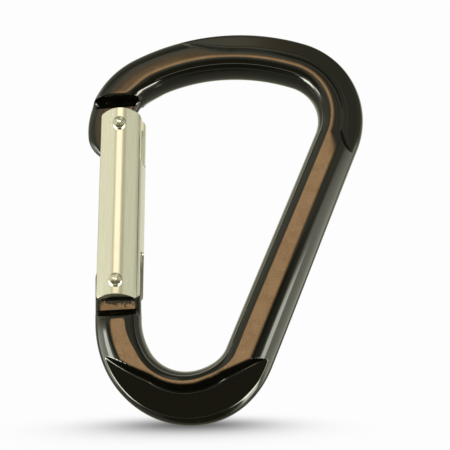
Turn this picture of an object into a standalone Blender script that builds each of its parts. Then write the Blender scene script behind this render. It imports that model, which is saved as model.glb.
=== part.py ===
"""Snap-gate carabiner: forged frame, slotted bar gate, two rivets, return spring and plunger.

The carabiner stands in the XZ plane on its lower bow, front towards -Y, with the gate upright on the
-X side. Lengths below are in millimetres; MM turns them into metres. The origin is under the middle
of the frame, at its lowest point.
"""
import math

import bmesh
import bpy
from mathutils import Matrix, Vector

MM = 0.001

# ---- frame centreline: from the top of the hinge lug, down, round the lower bow, up the spine ----
LUG_TOP = (-30.2, 44.03)                # X and Z of the centreline's start
START_HEADING = -88.0                   # degrees from +X
# each stretch: length, degrees turned to the left
STRETCHES = (
    (16.0, 0.0),                        # hinge lug and the bar below it
    (11.8, 27.9),                       # lower left
    (27.1, 81.5),                       # lower bow
    (14.2, 46.0),                       # lower right
    (65.7, 0.0),                        # spine
    (28.8, 93.5),                       # upper right
    (46.9, 45.7),                       # upper bow
    (19.1, 64.2),                       # upper left
    (9.4, 5.0),                         # nose
)
# values at the ends of the stretches, blended smoothly between them
WIDTHS = (12.8, 12.9, 13.2, 14.8, 13.6, 12.8, 12.9, 12.0, 13.3, 11.9)
INNER_ROUNDS = (2.2, 2.3, 1.4, 1.2, 2.0, 2.1, 2.8, 2.9, 2.8, 2.6)
OUTER_ROUNDS = (5.7, 6.0, 9.0, 11.5, 8.0, 5.3, 5.4, 4.1, 4.3, 4.3)

HALF_DEPTH = 6.2                        # mid-plane to front face
RAIL_HEIGHT = 1.1                       # bulge of the rope-bearing rail on the inner side
RAIL_HALF = 4.5                         # half width of the rail, to its crease
TONGUE_HALF = 2.3                       # half thickness of nose and lug between the gate's cheeks
HINGE_RUNOUT = 1.9                      # length over which the lug steps up to the full depth
NOSE_RUNOUT = 2.7                       # and the nose
HINGE_STEP = 12.6                       # foot of the step, along the centreline from the lug's top
NOSE_STEP = 15.7                        # foot of the step, from the nose's tip
STEP_TILT = 3.0                         # degrees by which both steps rise towards +X
LUG_SQUARE = (14.5, 22.0)               # sections are level up to the first place, square to the
NOSE_SQUARE = (16.5, 52.0)              # centreline from the second; from the nose's tip for the nose
SQUARE_EASE = 0.7                       # power that spreads the change between the two
LUG_CORNERS = (1.4, 3.4)                # corner radii at the lug's top: inner side, outer side
NOSE_CORNERS = (2.4, 7.5)               # corner radii at the nose's tip: inner side, outer side
INNER_EDGE = 1.1                        # rounding of the tongues' inner edges
LUG_EDGE = 1.5                          # rounding of the outer edge of the lug
NOSE_EDGE = 2.6                         # rounding of the outer edge of the nose
EDGE_FADE = 3.5                         # length past a step over which that rounding fades out
EDGE_SAMPLES = 40                       # samples each way where a level section meets the bar's edges
EDGE_SPACING = 0.35

# ---- pockets forged into the outer half of both bends ----
# start and end along the centreline, foot of the wall from the inner edge,
# then length and bluntness of the run-outs at start and end
POCKETS = ((22.5, 70.8, 6.0, (14.0, 1.0), (11.0, 0.6)),
           (132.0, 196.8, 8.1, (6.0, 1.0), (13.0, 1.0)))
POCKET_LIP = 3.1                        # width of the wall's S-shaped slope
POCKET_FLOOR = 3.9                      # mid-plane to pocket floor
RUN_OUT_POWER = 1.7

# ---- where a section has its corners ----
RAIL_SHARES = (0.0, 0.5, 0.8, 1.0)      # heights on the rail, as shares of its half width
ROUND_ANGLES = (30, 60)                 # places on the inner round, in degrees of its quarter
TONGUE_SHARES = (0.06, 0.12, 0.18)      # places on the flat of lug and nose, from the inner edge
LIP_SHARES = (0.0, 0.25, 0.5, 0.75, 1.0)  # places on the pocket's wall, from its lip to its foot
CORNER_SHARES = (1.0, 0.94, 0.76, 0.44)  # heights on the outer round above the pocket's floor
OUTER_SHARES = (1.0, 0.8, 0.45)         # heights on the outer round below it
LEAST_FLAT = 0.3                        # least width of flat left between inner round and pocket

# ---- gate ----
PIN_X = -29.45
HINGE_Z = 39.25
LATCH_Z = 84.15
GATE_BOTTOM = 34.05
GATE_TOP = 88.75
GATE_HALF = 5.7                         # half width at the front edges
GATE_SIDE = 6.35                        # half width at mid-depth
GATE_EDGE = 4.7                         # mid-plane to front edges
GATE_FACE = 6.5                         # mid-plane to the crown of the front face
GATE_TOP_ARC = 1.8                      # rise of the cheeks' rounded top
CHEEK_HALF = 5.75                       # half width of the cheeks above the upper slot's end
CHEEK_CORNER = 1.2                      # size of the round corners at the cheeks' top
CHEEK_CORNER_SHARES = (0.0, 0.33, 0.67)
END_CHAMFER = 1.45                      # chamfer under both cheeks: its height at the crown
END_CHAMFER_DEPTH = 1.8                 # and how far it reaches in from the crown
END_CORNER = 0.8                        # chamfer of the cheeks' lower corners
SLOT_HALF = 2.75
LOWER_SLOT_END = 46.75
UPPER_SLOT_END = 73.65
SHOULDER = 0.9                          # drop of the slots' ends at the gate's sides

# ---- rivets ----
PIN_RADIUS = 1.45
HEAD_RADIUS = 1.95
HEAD_RISE = 0.75
DIMPLE_RADIUS = 0.55
DIMPLE_DEPTH = 0.3
HEAD_Y = 6.6                            # mid-plane to the underside of a head
GAP = 0.3                               # between a piece and its neighbour

# ---- spring and plunger ----
BORE_X = PIN_X + 1.2
BORE_RADIUS = 2.2
BORE_TOP = 63.25
PLUNGER_RADIUS = 1.9
PLUNGER_HEAD = 1.9                      # height of its flat head
STEM_RADIUS = 0.85
STEM_TOP = 54.35
COIL_RADIUS = 1.45
WIRE_RADIUS = 0.3
COIL_TURNS = 9
COIL_STEPS = 12                         # points in one turn

SMOOTH_ANGLE = math.radians(32)


# ---------------------------------------------------------------- scene, collections, materials
def clear_scene():
    for item in list(bpy.data.objects):
        bpy.data.objects.remove(item, do_unlink=True)


def new_collection(name):
    group = bpy.data.collections.new(name)
    bpy.context.scene.collection.children.link(group)
    return group


def new_material(name, colour, roughness, metallic):
    material = bpy.data.materials.new(name)
    material.use_nodes = True
    shader = material.node_tree.nodes["Principled BSDF"]
    shader.inputs["Base Color"].default_value = (*colour, 1.0)
    shader.inputs["Roughness"].default_value = roughness
    shader.inputs["Metallic"].default_value = metallic
    return material


def add_object(name, mesh, group, material=None):
    item = bpy.data.objects.new(name, mesh)
    group.objects.link(item)
    if material:
        mesh.materials.append(material)
    return item


def finish_mesh(item):
    item.data.shade_smooth()
    item.data.set_sharp_from_angle(angle=SMOOTH_ANGLE)


# ---------------------------------------------------------------- frame: centreline and sections
def blend(t):
    return t * t * (3.0 - 2.0 * t)


def stretch_at(s):
    """Number of the stretch that holds distance s, and how far into it s lies."""
    for number, (length, _) in enumerate(STRETCHES):
        if s <= length or number == len(STRETCHES) - 1:
            return number, s
        s -= length


def centreline(s):
    """Point and heading of the centreline at distance s."""
    x, z = LUG_TOP
    heading = math.radians(START_HEADING)
    last, rest = stretch_at(s)
    for number in range(last + 1):
        length, degrees = STRETCHES[number]
        run = rest if number == last else length
        turn = math.radians(degrees) * run / length
        half = turn / 2
        chord = run if abs(turn) < 1e-9 else run * math.sin(half) / half
        x += chord * math.cos(heading + half)
        z += chord * math.sin(heading + half)
        heading += turn
    return x, z, heading


def value_at(values, s):
    number, rest = stretch_at(s)
    t = blend(min(rest / STRETCHES[number][0], 1.0))
    return values[number] * (1 - t) + values[number + 1] * t


FRAME_LENGTH = sum(length for length, _ in STRETCHES)


def corner_inset(distance, radius):
    """How far a rounded corner pulls the edge in, at a distance from the end."""
    if distance >= radius:
        return 0.0
    return radius - math.sqrt(max(radius ** 2 - (radius - distance) ** 2, 0.0))


def past_step(s):
    """Distance from the foot of the nearer step, positive where the bar has its full depth."""
    return min(s - HINGE_STEP, FRAME_LENGTH - NOSE_STEP - s)


def clip_depth(s):
    """Half depth left by the steps that make the lug and the nose."""
    foot_distance = past_step(s)
    runout = HINGE_RUNOUT if s < FRAME_LENGTH / 2 else NOSE_RUNOUT
    if foot_distance <= 0:
        return TONGUE_HALF
    if foot_distance >= runout:
        return HALF_DEPTH
    rise = 1 - math.sqrt(1 - (foot_distance / runout) ** 2)
    return TONGUE_HALF + (HALF_DEPTH - TONGUE_HALF) * rise


def pocket_foot(s, width):
    """Foot of the pocket's wall across the width; past the outer edge where there is no pocket."""
    foot = width + POCKET_LIP
    for start, end, middle, first_end, last_end in POCKETS:
        if start < s < end:
            runs = []
            for past, (length, bluntness) in ((s - start, first_end), (end - s, last_end)):
                left = 1 - min(past / length, 1.0)
                runs.append((1 - left ** RUN_OUT_POWER) ** bluntness)
            foot = middle + (width - middle) * (1 - min(runs))
    return foot


def edge_rounding(s):
    """Rounding of the inner and of the outer edge of the lug and the nose, faded out past a step."""
    fade = 1 - blend(min(max(past_step(s) / EDGE_FADE, 0.0), 1.0))
    outer = LUG_EDGE if s < FRAME_LENGTH / 2 else NOSE_EDGE
    return INNER_EDGE * fade, outer * fade


def half_section(s):
    """Section from the inner edge to the outer edge on one side of the mid-plane: (across, depth)."""
    width = value_at(WIDTHS, s)
    inner_round = value_at(INNER_ROUNDS, s)
    outer_round = value_at(OUTER_ROUNDS, s)
    clip = clip_depth(s)
    inner_edge, outer_edge = edge_rounding(s)
    rail_radius = (RAIL_HALF ** 2 + RAIL_HEIGHT ** 2) / (2 * RAIL_HEIGHT)

    def quarter(depth, half):
        """Fall of a quarter of an ellipse, 0 on the mid-plane and 1 at the depth half."""
        return 1 - math.sqrt(max(1 - (depth / half) ** 2, 0.0))

    def inner_at(depth):
        edge = inner_edge * quarter(min(depth, TONGUE_HALF), TONGUE_HALF)
        if depth <= RAIL_HALF:
            return max(rail_radius - math.sqrt(rail_radius ** 2 - depth ** 2), edge)
        return RAIL_HEIGHT + inner_round * quarter(depth - RAIL_HALF, HALF_DEPTH - RAIL_HALF)

    def outer_at(depth):
        edge = outer_edge * quarter(min(depth, TONGUE_HALF), TONGUE_HALF)
        return width - max(outer_round * quarter(depth, HALF_DEPTH), edge)

    foot = pocket_foot(s, width)

    def pocket_at(across):
        t = (across - foot) / POCKET_LIP + 1.0
        return HALF_DEPTH - (HALF_DEPTH - POCKET_FLOOR) * blend(min(max(t, 0.0), 1.0))

    def outer_depth(across):
        reach = 1 - ((across - width + outer_round) / outer_round) ** 2
        return HALF_DEPTH * math.sqrt(max(reach, 0.0)) if across > width - outer_round else HALF_DEPTH

    crest = min(clip, RAIL_HALF)
    points = [(inner_at(crest * t), crest * t) for t in RAIL_SHARES]
    flat_start = inner_at(clip)
    if clip > RAIL_HALF:
        for angle in ROUND_ANGLES:
            depth = RAIL_HALF + (clip - RAIL_HALF) * math.sin(math.radians(angle))
            points.append((inner_at(depth), depth))
        points.append((flat_start, clip))
    else:
        reach = outer_at(clip) - flat_start
        points += [(flat_start + reach * t, clip) for t in TONGUE_SHARES]
        flat_start += reach * TONGUE_SHARES[-1]

    rim_depth = min(clip, POCKET_FLOOR)
    if foot < outer_at(POCKET_FLOOR):
        lip = max(foot - POCKET_LIP, flat_start + LEAST_FLAT)
        for t in LIP_SHARES:
            across = lip + (foot - lip) * t
            points.append((across, min(pocket_at(across), outer_depth(across))))
    else:
        for t in CORNER_SHARES:
            depth = rim_depth + (clip - rim_depth) * t
            points.append((outer_at(depth), depth))
        last_across, last_depth = points[-1]
        points.append(((last_across + outer_at(rim_depth)) / 2, (last_depth + rim_depth) / 2))
    for t in OUTER_SHARES:
        points.append((outer_at(rim_depth * t), rim_depth * t))
    points.append((width, 0.0))
    return points, width


def end_insets(s):
    """How far the rounded corners of lug and nose pull in the inner and the outer edge."""
    lug = s
    nose = FRAME_LENGTH - s
    inner = corner_inset(lug, LUG_CORNERS[0]) + corner_inset(nose, NOSE_CORNERS[0])
    outer = corner_inset(lug, LUG_CORNERS[1]) + corner_inset(nose, NOSE_CORNERS[1])
    return inner, outer


def edge_point(s, side):
    """Point of the inner (side 1) or outer (side -1) edge of the bar, square to the centreline."""
    x, z, heading = centreline(min(max(s, 0.0), FRAME_LENGTH))
    beyond = s - min(max(s, 0.0), FRAME_LENGTH)
    reach = side * value_at(WIDTHS, min(max(s, 0.0), FRAME_LENGTH)) / 2
    return (x - math.sin(heading) * reach + math.cos(heading) * beyond,
            z + math.cos(heading) * reach + math.sin(heading) * beyond)


def reach_to_edge(s, direction, side):
    """Distance from the centreline to an edge, along a direction that may be askew."""
    x, z, _ = centreline(s)
    best = value_at(WIDTHS, s) / 2
    previous = None
    for step in range(-EDGE_SAMPLES, EDGE_SAMPLES + 1):
        px, pz = edge_point(s + step * EDGE_SPACING, side)
        across = direction[0] * (pz - z) - direction[1] * (px - x)
        along = side * (direction[0] * (px - x) + direction[1] * (pz - z))
        if previous and (across >= 0) != (previous[0] >= 0) and along > 0:
            share = previous[0] / (previous[0] - across)
            best = previous[1] + (along - previous[1]) * share
        previous = (across, along)
    return best


def level_share(s):
    """1 where a section follows the level steps of lug and nose, 0 where it is square to the bar."""
    near, far = LUG_SQUARE if s < FRAME_LENGTH / 2 else NOSE_SQUARE
    end = min(s, FRAME_LENGTH - s)
    share = min(max((end - near) / (far - near), 0.0), 1.0)
    return 1 - blend(share ** SQUARE_EASE)


def ring(s):
    """Closed section of the frame in space at distance s along its centreline."""
    half, width = half_section(s)
    x, z, heading = centreline(s)
    square = heading + math.pi / 2
    lean = level_share(s) * (math.radians(STEP_TILT + (360 if s > FRAME_LENGTH / 2 else 0)) - square)
    inward = (math.cos(square + lean), math.sin(square + lean))
    inner_inset, outer_inset = end_insets(s)
    inner_reach = reach_to_edge(s, inward, 1) - inner_inset
    outer_reach = reach_to_edge(s, inward, -1) - outer_inset
    scale = (inner_reach + outer_reach) / width
    outline = [(a, -d) for a, d in half] + [(a, d) for a, d in reversed(half[1:-1])]
    ring_points = []
    for across, y in outline:
        offset = inner_reach - across * scale
        ring_points.append(Vector((x + inward[0] * offset, y, z + inward[1] * offset)) * MM)
    return ring_points


def frame_stations():
    """Distances along the centreline where the frame has a section."""
    places = [0.0, 0.25, 0.7, 1.4, 2.3, 3.4, HINGE_STEP - 3]
    places += [HINGE_STEP + HINGE_RUNOUT * t for t in (0, 0.5, 0.8, 0.94, 1.0)]
    nose_foot = FRAME_LENGTH - NOSE_STEP
    places += [nose_foot - NOSE_RUNOUT * t for t in (0, 0.5, 0.8, 0.94, 1.0)]
    places += [FRAME_LENGTH - t for t in (0, 0.3, 1.0, 2.4, 4.2, 5.8, 7.5, 11.5)]
    first = HINGE_STEP + HINGE_RUNOUT
    last = nose_foot - NOSE_RUNOUT
    spine_start = sum(length for length, _ in STRETCHES[:4])
    spine_end = spine_start + STRETCHES[4][0]
    s = first + 2.0
    while s < last - 1.5:
        places.append(s)
        s += 8.0 if spine_start + 8 < s < spine_end - 16 else 3.1
    for start, end, *_ in POCKETS:
        places += [start + 0.6, end - 0.6]
    return sorted(places)


def loft(rings):
    """Closed body through rings of equal length, capped at both ends."""
    bm = bmesh.new()
    rows = [[bm.verts.new(point) for point in row] for row in rings]
    count = len(rows[0])
    for lower, upper in zip(rows, rows[1:]):
        for i in range(count):
            j = (i + 1) % count
            bm.faces.new((lower[i], lower[j], upper[j], upper[i]))
    bm.faces.new(reversed(rows[0]))
    bm.faces.new(rows[-1])
    bmesh.ops.remove_doubles(bm, verts=bm.verts, dist=0.00001)
    bmesh.ops.recalc_face_normals(bm, faces=bm.faces)
    bmesh.ops.triangulate(bm, faces=bm.faces)
    mesh = bpy.data.meshes.new("loft")
    bm.to_mesh(mesh)
    bm.free()
    return mesh


# ---------------------------------------------------------------- simple solids
PRISM_TURNS = {"X": (math.pi / 2, 0, math.pi / 2), "Y": (math.pi / 2, 0, 0), "Z": (0, 0, 0)}


def cylinder_y(name, radius, half_length, x, z, segments, group):
    """Cylinder along Y."""
    bm = bmesh.new()
    bmesh.ops.create_cone(bm, cap_ends=True, segments=segments, radius1=radius * MM,
                          radius2=radius * MM, depth=2 * half_length * MM)
    bmesh.ops.rotate(bm, verts=bm.verts, matrix=Matrix.Rotation(math.pi / 2, 3, "X"))
    mesh = bpy.data.meshes.new(name)
    bm.to_mesh(mesh)
    bm.free()
    item = add_object(name, mesh, group)
    item.location = (x * MM, 0, z * MM)
    return item


def cylinder_z(name, radius, low, high, x, segments, group):
    """Cylinder along Z."""
    bm = bmesh.new()
    bmesh.ops.create_cone(bm, cap_ends=True, segments=segments, radius1=radius * MM,
                          radius2=radius * MM, depth=(high - low) * MM)
    mesh = bpy.data.meshes.new(name)
    bm.to_mesh(mesh)
    bm.free()
    item = add_object(name, mesh, group)
    item.location = (x * MM, 0, (low + high) / 2 * MM)
    return item


def prism(name, outline, half_length, group, axis):
    """Flat outline, filled and thickened both ways along an axis."""
    curve = bpy.data.curves.new(name, "CURVE")
    curve.dimensions = "2D"
    curve.fill_mode = "BOTH"
    curve.extrude = half_length * MM
    spline = curve.splines.new("POLY")
    spline.points.add(len(outline) - 1)
    for point, (u, v) in zip(spline.points, outline):
        point.co = (u * MM, v * MM, 0, 1)
    spline.use_cyclic_u = True
    drawn = bpy.data.objects.new(name + "_curve", curve)
    group.objects.link(drawn)
    drawn.rotation_euler = PRISM_TURNS[axis]
    bpy.context.view_layer.update()
    evaluated = drawn.evaluated_get(bpy.context.evaluated_depsgraph_get())
    mesh = bpy.data.meshes.new_from_object(evaluated)
    mesh.transform(drawn.matrix_world)
    bpy.data.objects.remove(drawn, do_unlink=True)
    bm = bmesh.new()
    bm.from_mesh(mesh)
    bmesh.ops.remove_doubles(bm, verts=bm.verts, dist=0.00001)
    bmesh.ops.recalc_face_normals(bm, faces=bm.faces)
    bm.to_mesh(mesh)
    bm.free()
    return add_object(name, mesh, group)


def turned(name, profile, steps, group, material):
    """Turned shape about Z from a profile of (radius, height) pairs, run from top to bottom."""
    mesh = bpy.data.meshes.new(name)
    vertices = [(radius * MM, 0, height * MM) for radius, height in profile]
    edges = [(i, i + 1) for i in range(len(profile) - 1)]
    mesh.from_pydata(vertices, edges, [])
    item = add_object(name, mesh, group, material)
    screw = item.modifiers.new("turn", "SCREW")
    screw.steps = steps
    screw.render_steps = steps
    screw.use_merge_vertices = True
    screw.merge_threshold = 0.00001
    return item


def cut(item, cutter, operation="DIFFERENCE"):
    modifier = item.modifiers.new(cutter.name, "BOOLEAN")
    modifier.operation = operation
    modifier.object = cutter
    modifier.solver = "EXACT"
    cutter.hide_render = True
    cutter.display_type = "WIRE"


def arc(centre, radius, start, end, count):
    """Points on an arc, angles in degrees."""
    angles = [math.radians(start + (end - start) * i / count) for i in range(count + 1)]
    return [(centre[0] + radius * math.cos(a), centre[1] + radius * math.sin(a)) for a in angles]


# ---------------------------------------------------------------- the pieces
def make_frame(parts, cutters, material):
    frame = add_object("frame", loft([ring(s) for s in frame_stations()]), parts, material)
    bore = cylinder_y("hinge_bore", PIN_RADIUS + GAP, HALF_DEPTH, PIN_X, HINGE_Z, 24, cutters)
    half = PIN_RADIUS + GAP + 0.05
    notch_outline = arc((PIN_X, LATCH_Z), half, 90, 270, 10)
    notch_outline += [(PIN_X + 3.0, LATCH_Z - half), (PIN_X + 9.0, LATCH_Z - half - 1.6),
                      (PIN_X + 9.0, LATCH_Z + half + 0.6), (PIN_X + 3.0, LATCH_Z + half)]
    notch = prism("latch_notch", notch_outline, HALF_DEPTH + 1, cutters, "Y")
    cut(frame, bore)
    cut(frame, notch)
    finish_mesh(frame)
    return frame


def gate_section():
    """Outline of the bar across its length: crowned faces, slightly crowned sides."""
    rise = GATE_FACE - GATE_EDGE
    radius = (GATE_HALF ** 2 + rise ** 2) / (2 * rise)
    spread = math.degrees(math.asin(GATE_HALF / radius))
    front = arc((PIN_X, -(GATE_FACE - radius)), radius, -90 - spread, -90 + spread, 10)
    side_rise = GATE_SIDE - GATE_HALF
    side_radius = (GATE_EDGE ** 2 + side_rise ** 2) / (2 * side_rise)
    side_spread = math.degrees(math.asin(GATE_EDGE / side_radius))
    right = arc((PIN_X + GATE_SIDE - side_radius, 0), side_radius, -side_spread, side_spread, 4)
    quarter = front + right[1:]
    turned_half = [(2 * PIN_X - x, -y) for x, y in quarter]
    return quarter[:-1] + turned_half[:-1]


def gate_silhouette():
    """Outline of the bar seen from the front: rounded top, nearly square bottom."""
    radius = (GATE_HALF ** 2 + GATE_TOP_ARC ** 2) / (2 * GATE_TOP_ARC)
    spread = math.degrees(math.asin(GATE_HALF / radius) - CHEEK_CORNER / radius)
    top = arc((PIN_X, GATE_TOP - radius), radius, 90 - spread, 90 + spread, 10)
    corner_end = top[0]
    corner_start = (PIN_X + CHEEK_HALF, corner_end[1] - CHEEK_CORNER * 1.3)
    corner_peak = (PIN_X + CHEEK_HALF, corner_end[1] - CHEEK_CORNER * 0.25)
    right = []
    for t in CHEEK_CORNER_SHARES:
        weights = ((1 - t) ** 2, 2 * t * (1 - t), t ** 2)
        ends = (corner_start, corner_peak, corner_end)
        right.append(tuple(sum(w * end[axis] for w, end in zip(weights, ends)) for axis in (0, 1)))
    left = [(2 * PIN_X - x, z) for x, z in reversed(right)]
    wide = GATE_SIDE + 1
    narrow = UPPER_SLOT_END + 0.5
    low = GATE_BOTTOM + END_CORNER + wide - GATE_HALF
    foot = GATE_HALF - END_CORNER
    outline = [(PIN_X + wide, low), (PIN_X + wide, narrow - 2), (PIN_X + CHEEK_HALF, narrow)]
    outline += right + top + left
    outline += [(PIN_X - CHEEK_HALF, narrow), (PIN_X - wide, narrow - 2), (PIN_X - wide, low)]
    outline += [(PIN_X - foot, GATE_BOTTOM), (PIN_X + foot, GATE_BOTTOM)]
    return outline


def gate_side_view():
    """Outline that holds the bar seen from the side, with the chamfers under both cheeks."""
    beyond = 1.0
    reach = GATE_FACE + beyond
    foot = GATE_FACE - END_CHAMFER_DEPTH
    low = GATE_BOTTOM + END_CHAMFER * (1 + beyond / END_CHAMFER_DEPTH)
    high = GATE_TOP + 2
    return [(-foot, GATE_BOTTOM), (foot, GATE_BOTTOM), (reach, low),
            (reach, high), (-reach, high), (-reach, low)]


def slot_outline(end, far):
    """Slot seen from the front: its end is level in the middle and falls back at the sides."""
    outward = 1 if far > end else -1
    inner = GATE_HALF - 1.05
    outer = GATE_SIDE + 1.5
    drop = SHOULDER * outward
    return [(PIN_X - outer, far), (PIN_X - outer, end - 2.2 * drop),
            (PIN_X - GATE_SIDE, end - drop), (PIN_X - inner, end),
            (PIN_X + inner, end), (PIN_X + GATE_SIDE, end - drop),
            (PIN_X + outer, end - 2.2 * drop), (PIN_X + outer, far)]


def make_gate(parts, cutters, material):
    gate = prism("gate", gate_section(), (GATE_TOP - GATE_BOTTOM) / 2 + 1, parts, "Z")
    gate.data.materials.append(material)
    gate.data.transform(Matrix.Translation((0, 0, (GATE_TOP + GATE_BOTTOM) / 2 * MM)))
    cut(gate, prism("gate_ends", gate_silhouette(), GATE_FACE + 2, cutters, "Y"), "INTERSECT")
    side_view = prism("gate_chamfers", gate_side_view(), GATE_SIDE + 2, cutters, "X")
    side_view.location = (PIN_X * MM, 0, 0)
    cut(gate, side_view, "INTERSECT")
    lower = slot_outline(LOWER_SLOT_END, GATE_BOTTOM - 3)
    upper = slot_outline(UPPER_SLOT_END, GATE_TOP + 3)
    cut(gate, prism("lower_slot", lower, SLOT_HALF, cutters, "Y"))
    cut(gate, prism("upper_slot", upper, SLOT_HALF, cutters, "Y"))
    cut(gate, cylinder_z("spring_bore", BORE_RADIUS, LOWER_SLOT_END - 1, BORE_TOP, BORE_X, 20, cutters))
    for name, height in (("hinge_hole", HINGE_Z), ("latch_hole", LATCH_Z)):
        cut(gate, cylinder_y(name, PIN_RADIUS + GAP, GATE_FACE + 2, PIN_X, height, 24, cutters))
    gate.data.transform(Matrix.Translation((-PIN_X * MM, 0, -HINGE_Z * MM)))
    gate.location = (PIN_X * MM, 0, HINGE_Z * MM)
    finish_mesh(gate)
    return gate


def rivet_profile():
    """Half of a rivet's outline from the middle of its top head to the middle of its lower head."""
    head = [(0.0, HEAD_Y + HEAD_RISE - DIMPLE_DEPTH),
            (DIMPLE_RADIUS * 0.6, HEAD_Y + HEAD_RISE - DIMPLE_DEPTH * 0.8),
            (DIMPLE_RADIUS, HEAD_Y + HEAD_RISE - 0.03)]
    for degrees in (65, 38, 5):
        angle = math.radians(degrees)
        head.append((HEAD_RADIUS * math.cos(angle), HEAD_Y + 0.15 + (HEAD_RISE - 0.15) * math.sin(angle)))
    head += [(HEAD_RADIUS, HEAD_Y), (PIN_RADIUS, HEAD_Y)]
    return head + [(radius, -height) for radius, height in reversed(head)]


def make_rivet(name, height, parts, material):
    rivet = turned(name, rivet_profile(), 20, parts, material)
    rivet.rotation_euler = (math.pi / 2, 0, 0)
    rivet.location = (PIN_X * MM, 0, height * MM)
    finish_mesh(rivet)
    return rivet


def make_spring(parts, material):
    """Round-wire compression coil round the plunger's stem."""
    low = LUG_TOP[1] + GAP + PLUNGER_HEAD + WIRE_RADIUS + GAP
    high = BORE_TOP - WIRE_RADIUS - GAP
    curve = bpy.data.curves.new("return_spring", "CURVE")
    curve.dimensions = "3D"
    curve.bevel_depth = WIRE_RADIUS * MM
    curve.bevel_resolution = 1
    curve.use_fill_caps = True
    curve.render_resolution_u = 0
    spline = curve.splines.new("POLY")
    count = COIL_TURNS * COIL_STEPS
    spline.points.add(count)
    for i, point in enumerate(spline.points):
        angle = 2 * math.pi * i / COIL_STEPS
        height = low + (high - low) * i / count
        point.co = (COIL_RADIUS * math.cos(angle) * MM, COIL_RADIUS * math.sin(angle) * MM, height * MM, 1)
    curve.materials.append(material)
    spring = bpy.data.objects.new("return_spring", curve)
    spring.location = (BORE_X * MM, 0, 0)
    parts.objects.link(spring)
    return spring


def make_plunger(parts, material):
    foot = LUG_TOP[1] + GAP
    head = foot + PLUNGER_HEAD
    chamfer = 0.25
    profile = [(0.0, STEM_TOP), (STEM_RADIUS - chamfer, STEM_TOP), (STEM_RADIUS, STEM_TOP - chamfer),
               (STEM_RADIUS, head), (PLUNGER_RADIUS, head), (PLUNGER_RADIUS, foot + chamfer),
               (PLUNGER_RADIUS - chamfer, foot), (0.0, foot)]
    plunger = turned("plunger", profile, 20, parts, material)
    plunger.location = (BORE_X * MM, 0, 0)
    finish_mesh(plunger)
    return plunger


def main():
    clear_scene()
    parts = new_collection("carabiner")
    cutters = new_collection("cutters")
    black = new_material("black_anodised", (0.022, 0.021, 0.016), 0.16, 0.9)
    silver = new_material("polished_aluminium", (0.80, 0.78, 0.66), 0.24, 1.0)
    steel = new_material("rivet_steel", (0.62, 0.60, 0.54), 0.22, 1.0)
    spring_steel = new_material("spring_steel", (0.42, 0.42, 0.43), 0.3, 1.0)
    plunger_steel = new_material("plunger_steel", (0.5, 0.5, 0.5), 0.35, 1.0)

    make_frame(parts, cutters, black)
    pivot = bpy.data.objects.new("gate_pivot", None)
    parts.objects.link(pivot)
    pivot.location = (PIN_X * MM, 0, HINGE_Z * MM)
    moving = [make_gate(parts, cutters, silver),
              make_rivet("hinge_pin", HINGE_Z, parts, steel),
              make_rivet("latch_pin", LATCH_Z, parts, steel),
              make_spring(parts, spring_steel),
              make_plunger(parts, plunger_steel)]
    bpy.context.view_layer.update()
    for item in moving:
        item.parent = pivot
        item.matrix_parent_inverse = pivot.matrix_world.inverted()


main()
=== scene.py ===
"""Looks of the snap-gate carabiner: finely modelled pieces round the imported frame, materials, studio.

Lengths are in millimetres unless a comment says otherwise; MM turns them into metres.
"""
import math

import bmesh
import bpy
import numpy as np
from mathutils import Matrix, Vector


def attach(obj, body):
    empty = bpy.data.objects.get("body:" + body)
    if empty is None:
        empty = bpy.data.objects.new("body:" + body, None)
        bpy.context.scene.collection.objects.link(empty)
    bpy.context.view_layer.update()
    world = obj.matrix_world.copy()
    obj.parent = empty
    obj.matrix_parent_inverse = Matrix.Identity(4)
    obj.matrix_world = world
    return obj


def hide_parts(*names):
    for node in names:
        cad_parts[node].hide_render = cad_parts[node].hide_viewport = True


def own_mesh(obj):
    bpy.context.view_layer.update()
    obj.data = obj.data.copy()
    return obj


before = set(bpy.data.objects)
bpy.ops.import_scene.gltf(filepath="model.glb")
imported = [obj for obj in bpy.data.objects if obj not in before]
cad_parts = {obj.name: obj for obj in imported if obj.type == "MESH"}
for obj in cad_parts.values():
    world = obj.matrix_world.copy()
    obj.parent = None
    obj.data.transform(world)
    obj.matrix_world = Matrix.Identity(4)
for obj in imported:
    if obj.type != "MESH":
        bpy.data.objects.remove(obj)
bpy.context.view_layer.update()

MM = 0.001

# ---- driving sizes, as in the CAD ----
LUG_TOP = (-30.2, 44.03)  # X and Z of the centreline's start
START_HEADING = -88.0  # degrees from +X
# length and degrees turned to the left, from the hinge lug round to the nose
STRETCHES = ((16.0, 0.0), (11.8, 27.9), (27.1, 81.5), (14.2, 46.0), (65.7, 0.0), (28.8, 93.5),
             (46.9, 45.7), (19.1, 64.2), (9.4, 5.0))
FRAME_LENGTH = sum(length for length, _ in STRETCHES)
# values at the ends of the stretches, blended smoothly between them
WIDTHS = (12.8, 12.9, 13.2, 14.8, 13.6, 12.8, 12.9, 12.0, 13.3, 11.9)
INNER_ROUNDS = (2.2, 2.3, 1.4, 1.2, 2.0, 2.1, 2.8, 2.9, 2.8, 2.6)
OUTER_ROUNDS = (5.7, 6.0, 9.0, 11.5, 8.0, 5.3, 5.4, 4.1, 4.3, 4.3)
HALF_DEPTH = 6.2  # mid-plane to front face
RAIL_HEIGHT = 1.1  # bulge of the rail on the inner side
RAIL_HALF = 4.5  # its half width
TONGUE_HALF = 2.3  # half thickness of nose and lug
HINGE_RUNOUT = 1.9  # length over which the lug steps up to the full depth
NOSE_RUNOUT = 2.7  # and the nose
HINGE_STEP = 12.6  # foot of the step, from the lug's top
NOSE_STEP = 15.7  # and from the nose's tip
STEP_TILT = 3.0  # degrees by which both steps rise towards +X
LUG_SQUARE = (14.5, 22.0)  # sections are level up to the first place, square to the
NOSE_SQUARE = (16.5, 52.0)  # centreline from the second; from the nose's tip for the nose
SQUARE_EASE = 0.7  # power that spreads the change between the two
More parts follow.
